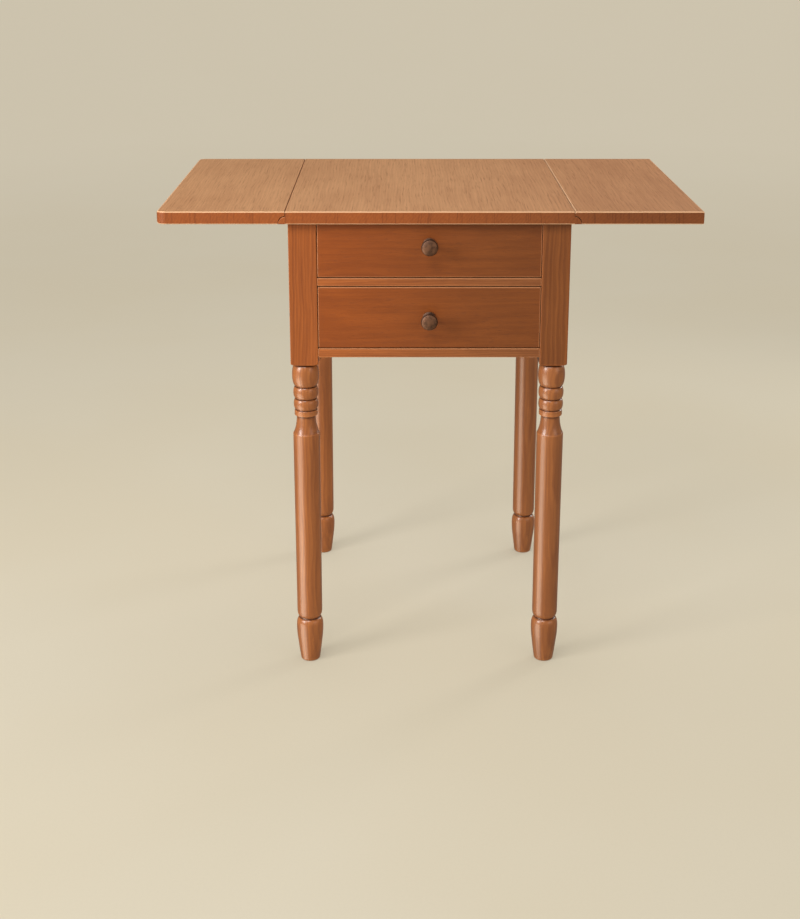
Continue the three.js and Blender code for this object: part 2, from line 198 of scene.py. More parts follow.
# ------------------------------------------------------------------ wood
def wood(name, grain, colour, deep, pith, ring=0.0032, rings=0.35, streak=0.3, fleck=0.3, fleck_size=(70, 950, 950),
         patina=0.25, rough=0.42, seed=0.0, shade=None, wear_and_highlight=0.0, turned=False, crevice_shade=0.5, coat=0.12, painted_top_light=None,
         wander=(0.03, 0.02), coat_rough=0.28, wear_highlight_colour=None, coat_ior=1.5, spec=0.35):
    """Sawn or turned wood in object space. grain is the axis the fibres follow, pith the (across, through) place of
    the heart of the tree, ring the width of a year ring; colour is the early wood and deep the late wood.
    painted_top_light gives the colours of the upper face, lighter and paler as painted light from above, with fleck
    there and less of it on the edges."""
    m = Nodes(name)
    x, y, z = m.split(m.position())
    g, a, t = {"X": (x, y, z), "Y": (y, x, z), "Z": (z, x, y)}[grain]
    g = m.math("ADD", g, seed)
    upward = None
    if painted_top_light:
        normal = m.tree.nodes.new("ShaderNodeTexCoord").outputs["Normal"]
        upward = m.spread(m.split(normal)[2], 0.55, 0.93)
    # Slow bends of the fibres, long along the grain.
    bend = m.join(m.math("MULTIPLY", g, 3.2), m.math("MULTIPLY", a, 11), m.math("MULTIPLY", t, 11))
    off = m.math("MULTIPLY", m.math("SUBTRACT", m.noise(bend, 1, 3, 0.55), 0.5), wander[0])
    off2 = m.math("MULTIPLY", m.math("SUBTRACT", m.noise(m.vmath("ADD", bend, (7.3, 2.1, 4.4)), 1, 2, 0.5), 0.5), wander[1])
    aw = m.math("ADD", a, off)
    tw = m.math("ADD", t, off2)
    da, dt = m.math("SUBTRACT", aw, pith[0]), m.math("SUBTRACT", tw, pith[1])
    radius = m.vmath("LENGTH", m.join(da, dt, 0.0))

    def along(kg, ka, kt):
        return m.join(m.math("MULTIPLY", g, kg), m.math("MULTIPLY", aw, ka), m.math("MULTIPLY", tw, kt))

    jitter = m.math("MULTIPLY", m.noise(along(9, 160, 160), 1, 2), 0.9)
    phase = m.math("FRACT", m.math("ADD", m.math("DIVIDE", radius, ring), jitter))
    late = m.math("MULTIPLY", m.spread(phase, 0.15, 0.82), m.spread(phase, 1.0, 0.86))
    # Streaks a few millimetres wide, fibres a fraction of one.
    streaks = m.noise(along(4.5, 210, 210), 1, 4, 0.6)
    fibres = m.noise(along(28, 1500, 1500), 1, 3, 0.65)
    flecks = m.noise(along(*fleck_size), 1, 2, 0.5)
    pores = m.spread(flecks, 0.57, 0.70)
    age = m.noise(m.join(m.math("MULTIPLY", g, 5), m.math("MULTIPLY", a, 9), m.math("MULTIPLY", t, 9)), 1, 4, 0.6)
    # Painted light: faces turned up take the lighter, paler painted_top_light colours, the edges keep colour and deep.
    if painted_top_light:
        base = m.mix(upward, colour, painted_top_light[0])
        dark = m.mix(upward, deep, painted_top_light[1])
        rays = m.spread(m.noise(along(6, 420, 16), 1, 2, 0.5), 0.55, 0.68)
        edge_rays = m.math("MULTIPLY", m.math("SUBTRACT", 1.0, upward), rays)
    else:
        base, dark = colour, deep

    def toned(k):
        return m.mix(1.0, dark, (k[0], k[1], k[2], 1.0), "MULTIPLY") if painted_top_light else times(deep, k)

    c = m.mix(m.math("MULTIPLY", late, rings), base, dark)
    c = m.mix(m.math("MULTIPLY", m.spread(streaks, 0.32, 0.72), streak), c, dark)
    c = m.mix(m.math("MULTIPLY", m.spread(fibres, 0.3, 0.75), 0.22), c, toned((0.8, 0.8, 0.8)))
    amount = m.math("MULTIPLY", pores, fleck)
    if painted_top_light:
        amount = m.math("MULTIPLY", amount, m.math("ADD", 0.25, m.math("MULTIPLY", upward, 0.75)))
        c = m.mix(m.math("MULTIPLY", edge_rays, 0.42), c, toned((0.62, 0.55, 0.5)))
        # Painted shade: the edges, not the upper face, browner and darker towards the right.
        painted_right_edge_shade = m.math("MULTIPLY", m.math("SUBTRACT", 1.0, upward), m.spread(x, -0.1, 0.33))
        c = m.mix(painted_right_edge_shade, c, m.mix(1.0, c, (0.68, 0.84, 1.12, 1.0), "MULTIPLY"))
    c = m.mix(amount, c, toned((0.5, 0.5, 0.5)))
    c = m.mix(m.math("MULTIPLY", m.spread(age, 0.35, 0.7), patina), c, toned((0.9, 0.82, 0.72)))
    if shade is not None:
        # Painted shade: a colour factor along one axis stands for the light falling off across the table: (axis, from,
        # to, colour factor at the far end).
        axis, start, end, factor = shade
        c = m.mix(m.spread({"X": x, "Y": y, "Z": z}[axis], start, end), c, m.mix(1.0, c, (*factor, 1.0), "MULTIPLY"))
    # Painted shade in the grooves of the turning and painted highlights on its beads and the post's arrises, from the
    # groove and proud attributes.
    if turned:
        c = m.mix(m.math("MULTIPLY", m.attribute("groove"), 0.85), c, times(deep, (0.34, 0.27, 0.22)))
        c = m.mix(m.math("MULTIPLY", m.attribute("proud"), 0.5), c, times(colour, (1.25, 1.35, 1.6)))
    # Rubbed arrises lighter, with a painted highlight along them: the eased faces take wear_highlight_colour.
    if wear_and_highlight:
        c = m.mix(wear_and_highlight, c, wear_highlight_colour or times(colour, (1.35, 1.6, 2.2)))
    # Painted shade: darker where the occlusion node finds surfaces close by, in joints, crevices and under the top's
    # overhang.
    if crevice_shade:
        crevice_occlusion = m.math("SUBTRACT", 1.0, m.occlusion(0.006))
        c = m.mix(m.math("MULTIPLY", m.spread(crevice_occlusion, 0.25, 0.9), crevice_shade), c, times(deep, (0.25, 0.2, 0.16)))
    m.put(m.bsdf.inputs["Base Color"], c)
    r = m.math("ADD", rough - 0.05, m.math("MULTIPLY", m.math("ADD", m.math("MULTIPLY", streaks, 0.5), m.math("MULTIPLY", age, 0.5)), 0.14))
    r = m.math("ADD", r, m.math("MULTIPLY", pores, 0.12), clamp=True)
    m.put(m.bsdf.inputs["Roughness"], r)
    m.bsdf.inputs["Coat Weight"].default_value = coat
    m.bsdf.inputs["Coat Roughness"].default_value = coat_rough
    m.bsdf.inputs["Coat IOR"].default_value = coat_ior
    m.bsdf.inputs["Specular IOR Level"].default_value = spec
    height = m.math("SUBTRACT", m.math("ADD", m.math("MULTIPLY", fibres, 0.5), m.math("MULTIPLY", streaks, 0.35)),
                    m.math("MULTIPLY", pores, 0.7))
    m.bump(height, 0.35, 0.00022)
    return m.mat


ORANGE = srgb(170, 88, 34)
ORANGE_DEEP = srgb(122, 58, 20)
TAN = srgb(212, 158, 112)
TAN_DEEP = srgb(166, 112, 72)
EDGE = srgb(168, 90, 38)
EDGE_DEEP = srgb(126, 62, 26)
PINE = srgb(202, 164, 110)
PINE_DEEP = srgb(156, 112, 64)

# Painted shade: the right side of the table is coloured browner and darker than the left, for the light falling off to
# the right; the legs and posts take their own such factor.
RIGHT_PAINTED_SHADE = ("X", -0.19, 0.14, (0.66, 0.79, 1.1))
mat_leg = wood("leg_wood", "Z", srgb(188, 113, 55), srgb(136, 73, 34), (0.6, -0.7), ring=0.0045, rings=0.4, streak=0.5,
               fleck=0.12, patina=0.2, rough=0.36, turned=True, shade=("X", -0.17, 0.21, (0.9, 0.94, 1.05)), coat=0.9, coat_rough=0.3,
               coat_ior=1.65, spec=0.25)
mat_post = wood("post_wood", "Z", srgb(178, 98, 42), srgb(126, 62, 25), (0.6, -0.7), ring=0.0045, rings=0.4, streak=0.5,
                fleck=0.12, patina=0.2, rough=0.4, turned=True, shade=("X", -0.19, 0.19, (0.62, 0.72, 0.9)), coat=0.2)
mat_rail = wood("rail_wood", "X", srgb(190, 108, 52), ORANGE_DEEP, (-0.1, 0.3), rings=0.3, streak=0.35, fleck=0.2, shade=RIGHT_PAINTED_SHADE)
# Lighter copies for the eased arrises, rubbed and with a painted highlight.
mat_rail_wear_highlight = wood("rail_wood_wear_highlight", "X", srgb(190, 108, 52), ORANGE_DEEP, (-0.1, 0.3), wear_and_highlight=0.65, wear_highlight_colour=srgb(214, 150, 106), shade=RIGHT_PAINTED_SHADE, crevice_shade=0.05)
mat_side = wood("side_wood", "Y", ORANGE, ORANGE_DEEP, (-0.33, 0.42), ring=0.006, rings=0.45, streak=0.35, fleck=0.2, shade=RIGHT_PAINTED_SHADE)
mat_side_wear_highlight = wood("side_wood_wear_highlight", "Y", ORANGE, ORANGE_DEEP, (-0.33, 0.42), ring=0.006, wear_and_highlight=0.4, shade=RIGHT_PAINTED_SHADE, crevice_shade=0.2)
mat_front = wood("drawer_front_wood", "X", srgb(164, 84, 30), srgb(124, 59, 20), (-0.34, 0.60), ring=0.007, rings=0.22, streak=0.35,
                 fleck=0.2, fleck_size=(90, 800, 800), patina=0.35, rough=0.4, shade=RIGHT_PAINTED_SHADE)
mat_front_wear_highlight = wood("drawer_front_wood_wear_highlight", "X", srgb(180, 96, 42), srgb(138, 70, 30), (-0.34, 0.60), ring=0.007,
                      wear_and_highlight=0.65, wear_highlight_colour=srgb(214, 150, 106), shade=RIGHT_PAINTED_SHADE, crevice_shade=0.05)
# Painted shade on the top, darker towards the right, and painted_top_light on its upper face.
TOP_PAINTED_SHADE = ("X", -0.02, 0.36, (0.90, 0.83, 0.80))
TOP = dict(pith=(0.9, 0.1), ring=0.0042, wander=(0.016, 0.01), painted_top_light=(TAN, TAN_DEEP), shade=TOP_PAINTED_SHADE)
mat_top = wood("top_wood", "Y", EDGE, EDGE_DEEP, rings=0.25, streak=0.32, fleck=0.42, fleck_size=(17, 640, 300),
               patina=0.25, rough=0.46, **TOP)
mat_top_wear_highlight = wood("top_wood_wear_highlight", "Y", EDGE, EDGE_DEEP, wear_and_highlight=0.8, wear_highlight_colour=srgb(232, 186, 146), crevice_shade=0.0, **TOP)
mat_inner = wood("inner_wood", "Y", PINE, PINE_DEEP, (0.05, 0.3), ring=0.005, rings=0.5, streak=0.3, fleck=0.1, rough=0.66, coat=0.0)
mat_inner_x = wood("inner_wood_cross", "X", PINE, PINE_DEEP, (0.1, 0.3), ring=0.005, rings=0.5, streak=0.3, fleck=0.1, rough=0.66, coat=0.0)


# ------------------------------------------------------------------ metals
def metal(name, colour, tarnish, rough, amount, scale=260.0, metallic=1.0, bump=0.25):
    m = Nodes(name)
    p = m.position()
    cloud = m.noise(p, scale, 5, 0.62)
    spots = m.spread(m.noise(p, scale * 3.1, 3, 0.6), 0.55, 0.7)
    scratch = m.noise(m.vmath("MULTIPLY", p, (2200, 260, 2200)), 1, 2, 0.6)
    c = m.mix(m.math("MULTIPLY", m.spread(cloud, 0.38, 0.66), amount), colour, tarnish)
    c = m.mix(m.math("MULTIPLY", spots, 0.35 * amount), c, times(tarnish, 0.5))
    dark = m.math("SUBTRACT", 1.0, m.occlusion(0.004))
    c = m.mix(m.math("MULTIPLY", m.spread(dark, 0.2, 0.9), 0.7), c, times(tarnish, 0.25))
    m.put(m.bsdf.inputs["Base Color"], c)
    m.bsdf.inputs["Metallic"].default_value = metallic
    r = m.math("ADD", rough - 0.08, m.math("ADD", m.math("MULTIPLY", cloud, 0.2), m.math("MULTIPLY", scratch, 0.08)), clamp=True)
    m.put(m.bsdf.inputs["Roughness"], r)
    m.bump(m.math("ADD", m.math("MULTIPLY", scratch, 0.4), m.math("MULTIPLY", spots, -0.8)), bump, 0.00012)
    return m.mat


mat_brass = metal("hinge_metal", srgb(176, 134, 66), srgb(96, 70, 38), 0.42, 0.75)
mat_steel = metal("pin_metal", srgb(138, 132, 124), srgb(70, 58, 48), 0.45, 0.6)
mat_knob = metal("knob_metal", srgb(128, 88, 64), srgb(72, 48, 34), 0.42, 0.75, scale=150, metallic=0.5)
# A darker copy of the knob's metal, painted shade for the knob's sides.
mat_knob_painted_shade = metal("knob_metal_painted_shade", srgb(86, 58, 42), srgb(46, 31, 24), 0.42, 0.75, scale=150, metallic=0.5)


# ------------------------------------------------------------------ mesh helpers
def add_mesh(name, verts, faces, mats, smooth=True, attributes=None):
    me = bpy.data.meshes.new(name)
    me.from_pydata([tuple(v) for v in verts], [], faces)
    me.validate()
    bm = bmesh.new()
    bm.from_mesh(me)
    bmesh.ops.recalc_face_normals(bm, faces=bm.faces)
    bm.to_mesh(me)
    bm.free()
    me.polygons.foreach_set("use_smooth", [smooth] * len(me.polygons))
    for m in mats:
        me.materials.append(m)
    for key, values in (attributes or {}).items():
        me.attributes.new(key, "FLOAT", "POINT").data.foreach_set("value", np.asarray(values, np.float32))
    o = bpy.data.objects.new(name, me)
    bpy.context.scene.collection.objects.link(o)
    return o


def piece(obj, body, slot, *nodes):
    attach(obj, body)
    if nodes:
        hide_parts(*nodes)
    return obj


def cutter(name, lo, hi):
    """A hidden block that only cuts."""
    v = [(x, y, z) for x in (lo[0], hi[0]) for y in (lo[1], hi[1]) for z in (lo[2], hi[2])]
    f = [(0, 1, 3, 2), (4, 6, 7, 5), (0, 4, 5, 1), (2, 3, 7, 6), (0, 2, 6, 4), (1, 5, 7, 3)]
    o = add_mesh(name, v, f, [], smooth=False)
    o.hide_render = True
    o.hide_viewport = True
    return o


def apply_cuts(obj, boxes):
    """Cuts axis-aligned blocks out of obj."""
    for i, (lo, hi) in enumerate(boxes):
        c = cutter(f"cut_{obj.name}_{i}", lo, hi)
        c.hide_viewport = False
        mod = obj.modifiers.new(f"cut{i}", "BOOLEAN")
        mod.operation = "DIFFERENCE"
        mod.solver = "EXACT"
        mod.object = c
    bpy.context.view_layer.update()
    deps = bpy.context.evaluated_depsgraph_get()
    me = bpy.data.meshes.new_from_object(obj.evaluated_get(deps))
    old = obj.data
    obj.modifiers.clear()
    obj.data = me
    bpy.data.meshes.remove(old)
    for i in range(len(boxes)):
        o = bpy.data.objects[f"cut_{obj.name}_{i}"]
        bpy.data.objects.remove(o, do_unlink=True)
    return obj


def soften(obj, width, segments=2, wear_and_highlight=None, angle=32, weld=True):
    """Eases the arrises of a faceted piece; the new faces take the material in slot wear_and_highlight, the rubbed
    arris with a painted highlight.
    """
    me = obj.data
    me.polygons.foreach_set("use_smooth", [True] * len(me.polygons))
    if weld:
        w = obj.modifiers.new("weld", "WELD")
        w.merge_threshold = 2e-6
        d = obj.modifiers.new("planar", "DECIMATE")
        d.decimate_type = "DISSOLVE"
        d.angle_limit = math.radians(0.6)
    b = obj.modifiers.new("bevel", "BEVEL")
    b.width = width
    b.segments = segments
    b.limit_method = "ANGLE"
    b.angle_limit = math.radians(angle)
    b.miter_outer = "MITER_SHARP"
    b.use_clamp_overlap = True
    b.harden_normals = False
    if wear_and_highlight is not None:
        b.material = wear_and_highlight
    n = obj.modifiers.new("normals", "WEIGHTED_NORMAL")
    n.weight = 80
    n.keep_sharp = False
    return obj


def dress(node, mats, width=0.0006, wear_and_highlight=None, segments=2, angle=32):
    o = NODES[node]
    o.data.materials.clear()
    for m in mats:
        o.data.materials.append(m)
    if width:
        soften(o, width, segments, wear_and_highlight, angle)
    return o


# ------------------------------------------------------------------ legs
def bead(z0, z1, join, top, n=16, power=0.5):
    """A turned bead between two heights, from a groove of radius join up to radius top."""
    out = []
    for i in range(n + 1):
        a = math.pi * (1 - i / n)
        z = (z0 + z1) / 2 + math.cos(a) * (z1 - z0) / 2
        out.append((join + (top - join) * math.sin(a) ** (2 * power), z))
    return out


def curve(points, steps=5):
    """Catmull-Rom through [radius, height] points."""
    p = [points[0]] + list(points) + [points[-1]]
    out = []
    for i in range(1, len(p) - 2):
        p0, p1, p2, p3 = (np.array(p[i + k], float) for k in (-1, 0, 1, 2))
        for s in range(steps):
            u = s / steps
            out.append(tuple(0.5 * (2 * p1 + (p2 - p0) * u + (2 * p0 - 5 * p1 + 4 * p2 - p3) * u * u
                                    + (3 * p1 - p0 - 3 * p2 + p3) * u ** 3)))
    out.append(tuple(points[-1]))
    return out


POST_LOW = 499.5
TURNED = (
    [(13.0, 0.0), (14.1, 0.25), (14.8, 0.9), (15.2, 1.8)]
    + curve([(15.4, 2.8), (17.0, 14), (19.0, 30), (20.6, 44), (21.2, 57), (20.7, 65.5), (19.2, 70.3), (17.4, 72.7), (16.1, 73.5)], 5)
    + [(16.0, 73.9), (16.0, 74.9), (16.1, 75.3)]
    + curve([(16.6, 75.5), (18.0, 77.2), (19.1, 79.8), (19.65, 83), (19.85, 86.5)], 4)
    + [(19.85 + 0.7 * k / 14, 86.5 + 299 * k / 14) for k in range(1, 14)]
    + [(20.52, 384.6), (20.56, 385.6), (20.45, 386.4), (20.1, 387.0)]
    + curve([(19.7, 387.5), (18.3, 391), (16.7, 396.2), (15.5, 402.5), (14.75, 409.5), (14.45, 415.7)], 5)
    + [(14.5, 416.1), (17.0, 416.2), (17.5, 416.45), (17.75, 417.0), (17.8, 418.2), (17.8, 422.9), (17.7, 424.0), (17.3, 424.7), (16.4, 425.2)]
    + bead(425.7, 443.0, 15.7, 18.9)
    + bead(443.3, 462.8, 15.7, 19.2)
    + bead(463.1, 498.4, 15.6, 20.7, 26)
    + [(15.6, 498.9), (15.8, 499.3)]
)
HALF = (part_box("leg_front_right")[1].x - 0) * 1000  # outermost place of a leg, the foot or the post


def angles():
    flat = np.linspace(-43.25, 43.25, 25)
    corner = np.linspace(43.25, 46.75, 7)[1:-1]
    quarter = np.concatenate([flat, corner])
    return np.radians(np.concatenate([quarter + 90 * k for k in range(4)]))


def square_radius(theta, half, round_r):
    t = np.abs((theta + math.pi / 4) % (math.pi / 2) - math.pi / 4)
    flat = half / np.cos(t)
    c = (half - round_r) * math.sqrt(2)
    d = t - math.pi / 4
    inside = np.maximum(round_r ** 2 - (c * np.sin(d)) ** 2, 0)
    arc = c * np.cos(d) + np.sqrt(inside)
    return np.where(half * np.tan(t) > half - round_r, arc, flat)


def smooth_min(a, b, k):
    h = np.clip(0.5 + 0.5 * (b - a) / k, 0, 1)
    return b + (a - b) * h - k * h * (1 - h)


def make_leg(name, half=21.0):
    lo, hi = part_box(name)
    cx, cy = (lo.x + hi.x) / 2, (lo.y + hi.y) / 2
    th = angles()
    top = UNDER / MM
    shoulder = [(18.6, 499.5), (20.4, 499.6), (22.2, 499.8), (24.0, 500.1), (25.8, 500.55), (27.2, 501.2), (28.3, 502.1),
                (29.0, 503.2), (29.5, 504.6), (30.0, 506.4), (31.5, 509)]
    sz = [p[1] for p in shoulder]
    sr = [p[0] for p in shoulder]
    rings = [(z, np.full(len(th), r), 0) for r, z in TURNED]
    square = square_radius(th, half, 1.3)
    zs = list(np.linspace(499.5, 503, 24)) + list(np.linspace(503.3, 509.3, 20)) + list(np.linspace(512, top - 2, 18)) + [top]
    for z in zs:
        r = np.interp(z, sz, sr) if z < sz[-1] else 60.0
        up = max(0.0, 502.7 - z)
        low = square_radius(th, half - (3.2 - math.sqrt(3.2 ** 2 - up ** 2)), 1.3) if up else square
        rings.append((z, smooth_min(np.full(len(th), r), low, 0.7) if z < sz[-1] else square, 1))
    zz = np.array([q[0] for q in rings])
    mean = np.array([q[1].mean() for q in rings])
    # Painted shade in the grooves and painted highlights on the high places of the turning, from the radius against its
    # own neighbourhood.
    fine = np.arange(0, top, 0.25)
    rad = np.interp(fine, zz, mean)
    kern = np.exp(-0.5 * (np.arange(-24, 25) * 0.25 / 2.2) ** 2)
    soft = np.convolve(np.pad(rad, 24, "edge"), kern / kern.sum(), "valid")
    rel = np.interp(zz, fine, rad - soft)
    verts, groove, proud = [], [], []
    n = len(th)
    corner = np.clip(1 - np.abs(np.abs((th + math.pi / 4) % (math.pi / 2) - math.pi / 4) - math.pi / 4) / math.radians(2.4), 0, 1)
    for i, (z, r, kind) in enumerate(rings):
        for j in range(n):
            verts.append((cx + r[j] * MM * math.cos(th[j]), cy + r[j] * MM * math.sin(th[j]), z * MM))
            # On the square post: painted shade along the underside of the shoulder, painted highlights on its corners
            # and on the rim of the shoulder.
            if kind:
                groove.append(0.6 if z < 499.9 else 0.0)
                rim = max(0.0, 1 - abs(z - 501.2) / 1.5) * 0.9
                proud.append(max(corner[j] * 0.7, rim))
            else:
                groove.append(float(np.clip(-rel[i] * 1.1, 0, 1)))
                proud.append(float(np.clip(rel[i] * 1.3, 0, 1)))
    faces = []
    for i in range(len(rings) - 1):
        for j in range(n):
            k = (j + 1) % n
            faces.append((i * n + j, i * n + k, (i + 1) * n + k, (i + 1) * n + j))
    base = len(verts)
    verts += [(cx, cy, 0.0), (cx, cy, UNDER)]
    # The two end caps take some painted shade.
    groove += [0.3, 0.3]
    proud += [0, 0]
    last = (len(rings) - 1) * n
    for j in range(n):
        k = (j + 1) % n
        faces.append((base, k, j))
        faces.append((base + 1, last + j, last + k))
    o = add_mesh(name + "_turned", verts, faces, [mat_leg, mat_post], attributes={"groove": groove, "proud": proud})
    o.data.polygons.foreach_set("material_index", [1 if p.center.z > 0.4995 else 0 for p in o.data.polygons])
    return o


for side, sx in SIDES:
    for end in ENDS:
        node = f"leg_{end}_{side}"
        o = make_leg(node)
        m = o.modifiers.new("normals", "WEIGHTED_NORMAL")
        m.weight = 50
        piece(o, "case", "leg_wood", node)


# ------------------------------------------------------------------ top boards
ARRIS = 0.0016


def board(name, stations, mats):
    """A board from stations across it: (x, underside z, upper side z, front y, rear y, pale). Each section is a
    rectangle with eased corners, whose eased faces take the second material, rubbed and with a painted highlight."""
    steps = 4
    verts, faces, wear_and_highlight = [], [], []
    count = 4 * (steps + 1)
    for x, zb, zt, y0, y1, _ in stations:
        up = min(ARRIS, (zt - zb) * 0.4)
        dn = min(ARRIS * 0.75, (zt - zb) * 0.3)
        for (cy, cz, r, start) in ((y0 + dn, zb + dn, dn, 180), (y1 - dn, zb + dn, dn, 270), (y1 - up, zt - up, up, 0), (y0 + up, zt - up, up, 90)):
            for k in range(steps + 1):
                t = math.radians(start + 90 * k / steps)
                verts.append((x, cy + r * math.cos(t), cz + r * math.sin(t)))
    n = len(stations)
    top_flat = 3 * (steps + 1) - 1
    for i in range(n - 1):
        for j in range(count):
            k = (j + 1) % count
            loop = []
            for v in (count * i + j, count * i + k, count * (i + 1) + k, count * (i + 1) + j):
                if all((Vector(verts[v]) - Vector(verts[w])).length > 1e-8 for w in loop):
                    loop.append(v)
            if len(loop) > 2:
                faces.append(tuple(loop))
                ends = (stations[i], stations[i + 1])
                if j < 2 * (steps + 1):
                    sound = all(abs(q[1] - UNDER) < 0.003 and q[2] > TOP_Z - 0.006 for q in ends)
                else:
                    sound = all(abs(q[2] - TOP_Z) < 0.006 for q in ends)
                # Eased corners and eased top flats take the second material, rubbed and with a painted highlight.
                corner = j % (steps + 1) != steps and sound
                ease = stations[i][5] and stations[i + 1][5] and stations[i + 1][0] - stations[i][0] < 0.01
                wear_and_highlight.append(1 if corner or (ease and j == top_flat) else 0)
    faces.append(tuple(reversed(range(count))))
    faces.append(tuple(range(count * (n - 1), count * n)))
    wear_and_highlight += [0, 0]
    me = bpy.data.meshes.new(name)
    me.from_pydata(verts, [], faces)
    me.polygons.foreach_set("material_index", wear_and_highlight)
    for m in mats:
        me.materials.append(m)
    bm = bmesh.new()
    bm.from_mesh(me)
    bmesh.ops.remove_doubles(bm, verts=bm.verts, dist=1e-6)
    bmesh.ops.dissolve_degenerate(bm, edges=bm.edges, dist=1e-7)
    bmesh.ops.recalc_face_normals(bm, faces=bm.faces)
    bm.to_mesh(me)
    bm.free()
    o = bpy.data.objects.new(name, me)
    bpy.context.scene.collection.objects.link(o)
    return o


def crisp(obj, angle=32):
    """Smooth faces with sharp edges where the surface turns by more than angle."""
    me = obj.data
    bm = bmesh.new()
    bm.from_mesh(me)
    for f in bm.faces:
        f.smooth = True
    for e in bm.edges:
        e.smooth = len(e.link_faces) == 2 and e.calc_face_angle(0) < math.radians(angle)
    bm.to_mesh(me)
    bm.free()
    n = obj.modifiers.new("normals", "WEIGHTED_NORMAL")
    n.weight = 80
    n.keep_sharp = True
    return obj


def eased(x_edge, x_in, zb, zt, y0, y1, pale, steps=5):
    """Stations that round the upper arris between x_in and the edge."""
    out = []
    r = abs(x_edge - x_in)
    for k in range(steps + 1):
        t = math.radians(90 * k / steps)
        x = x_in + (x_edge - x_in) * math.sin(t)
        out.append((x, zb, zt - r * (1 - math.cos(t)), y0, y1, pale))
    return out


def centre_stations():
    y0, y1 = TOP_Y

    def half(pale):
        out = eased(SEAM_X, SEAM_X - 0.0011, UNDER, TOP_Z, y0, y1, pale)
        for i in range(29):
            t = math.radians(90 * i / 28)
            out.append((SEAM_X + RULE_R * math.sin(t), UNDER, PIN_Z + RULE_R * math.cos(t), y0, y1, False))
        return out

    return [(-x, *rest) for x, *rest in reversed(half(False))] + half(False)


def leaf_stations(sx, corner):
    y0, y1 = TOP_Y
    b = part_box("leaf_board_" + ("right" if sx > 0 else "left"))
    gap = (b[0].x if sx > 0 else -b[1].x) - SEAM_X
    r = RULE_R + 0.000625
    first = math.acos(gap / r)
    ease = []
    for k in range(6):
        t = math.radians(90 * k / 5)
        e = 0.0018 if sx > 0 else 0.0011
        # Only the right seam's eased arris is marked pale, for a painted highlight there.
        ease.append((SEAM_X + gap + e * (1 - math.cos(t)), TOP_Z - e * (1 - math.sin(t)), sx > 0))
    cove = []
    for i in range(29):
        t = first * (1 - i / 28)
        cove.append((SEAM_X + r * math.cos(t), PIN_Z + r * math.sin(t)))

    def under(x):
        return PIN_Z + math.sqrt(max(r * r - (x - SEAM_X) ** 2, 0))

    out = [(x, under(x), zt, y0, y1, w) for x, zt, w in ease]
    out += [(x, z, TOP_Z, y0, y1, False) for x, z in cove if x > ease[-1][0] + 1e-5]
    out.append((SEAM_X + r, UNDER, TOP_Z, y0, y1, False))
    e = 0.0042 if corner else ARRIS
    c = corner or ARRIS
    out.append((LEAF_OUT - c, UNDER, TOP_Z, y0, y1, not corner))
    n = 16 if corner else 6
    for i in range(1, n + 1):
        t = math.radians(90 * i / n)
        x = LEAF_OUT - c + c * math.sin(t)
        d = c * (1 - math.cos(t)) if corner else 0
        drop = e - math.sqrt(max(e * e - max(0.0, x - LEAF_OUT + e) ** 2, 0)) if i < n else e * 0.85
        out.append((x, UNDER + drop * 0.8, TOP_Z - drop, y0 + d, y1 - d, x > LEAF_OUT - e))
    if sx < 0:
        out = [(-x, *rest) for x, *rest in reversed(out)]
    return out


def hinge_cuts(kind, side):
    cuts = []
    for end in ENDS:
        lo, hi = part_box(f"hinge_{kind}_{end}_{side}")
        sx = 1 if side == "right" else -1
        e = 0.00025
        if kind == "plate":
            x = sorted((sx * (SEAM_X + RULE_R + 0.001), (lo.x if sx > 0 else hi.x) - sx * e))
            cuts.append(((x[0], lo.y - e, UNDER - 0.001), (x[1], hi.y + e, UNDER + 0.002)))
            cuts.append(((sx * SEAM_X - 0.0036, lo.y - e, UNDER - 0.001), (sx * SEAM_X + 0.0036, hi.y + e, PIN_Z + 0.0036)))
        else:
            x = sorted((sx * (SEAM_X + RULE_R - 0.0005), (hi.x if sx > 0 else lo.x) + sx * e))
            cuts.append(((x[0], lo.y - e, UNDER - 0.001), (x[1], hi.y + e, UNDER + 0.002)))
    return cuts


centre = board("top_center_board_shaped", centre_stations(), [mat_top, mat_top_wear_highlight])
apply_cuts(centre, hinge_cuts("plate", "left") + hinge_cuts("plate", "right"))
crisp(centre)
piece(centre, "case", "top_wood", "top_center_board")
for side, sx in SIDES:
    leaf = board(f"leaf_board_{side}_shaped", leaf_stations(sx, 0.015 if sx < 0 else 0), [mat_top, mat_top_wear_highlight])
    apply_cuts(leaf, hinge_cuts("strap", side))
    crisp(leaf)
    piece(leaf, f"leaf_{side}", "top_wood", f"leaf_board_{side}")


# ------------------------------------------------------------------ case and inside, from the CAD nodes
for side, sx in SIDES:
    dress(f"side_apron_{side}", [mat_side, mat_side_wear_highlight], 0.0005, 1)
    dress(f"fly_block_{side}", [mat_side, mat_side_wear_highlight], 0.0004, 1, angle=40)
    dress(f"fly_bracket_{side}", [mat_side, mat_side_wear_highlight], 0.0006, 1, angle=40)
    dress(f"fly_pin_{side}", [mat_steel], 0)
    for level in ("upper", "lower"):
        dress(f"runner_{level}_{side}", [mat_inner], 0.0005)
        dress(f"guide_{level}_{side}", [mat_inner], 0.0005)
        dress(f"drawer_stop_{level}_{side}", [mat_inner], 0.0005)
    dress(f"kicker_{side}", [mat_inner], 0.0005)
    for end in ENDS:
        dress(f"top_screw_{end}_{side}", [mat_steel], 0.0002)
        dress(f"hinge_plate_{end}_{side}", [mat_brass], 0.0002)
        dress(f"hinge_strap_{end}_{side}", [mat_brass], 0.0002)
        dress(f"hinge_pin_{end}_{side}", [mat_steel], 0.0002)
dress("back_apron", [mat_rail, mat_rail_wear_highlight], 0.0005, 1)
dress("bottom_front_rail", [mat_rail, mat_rail_wear_highlight], 0.0010, 1)
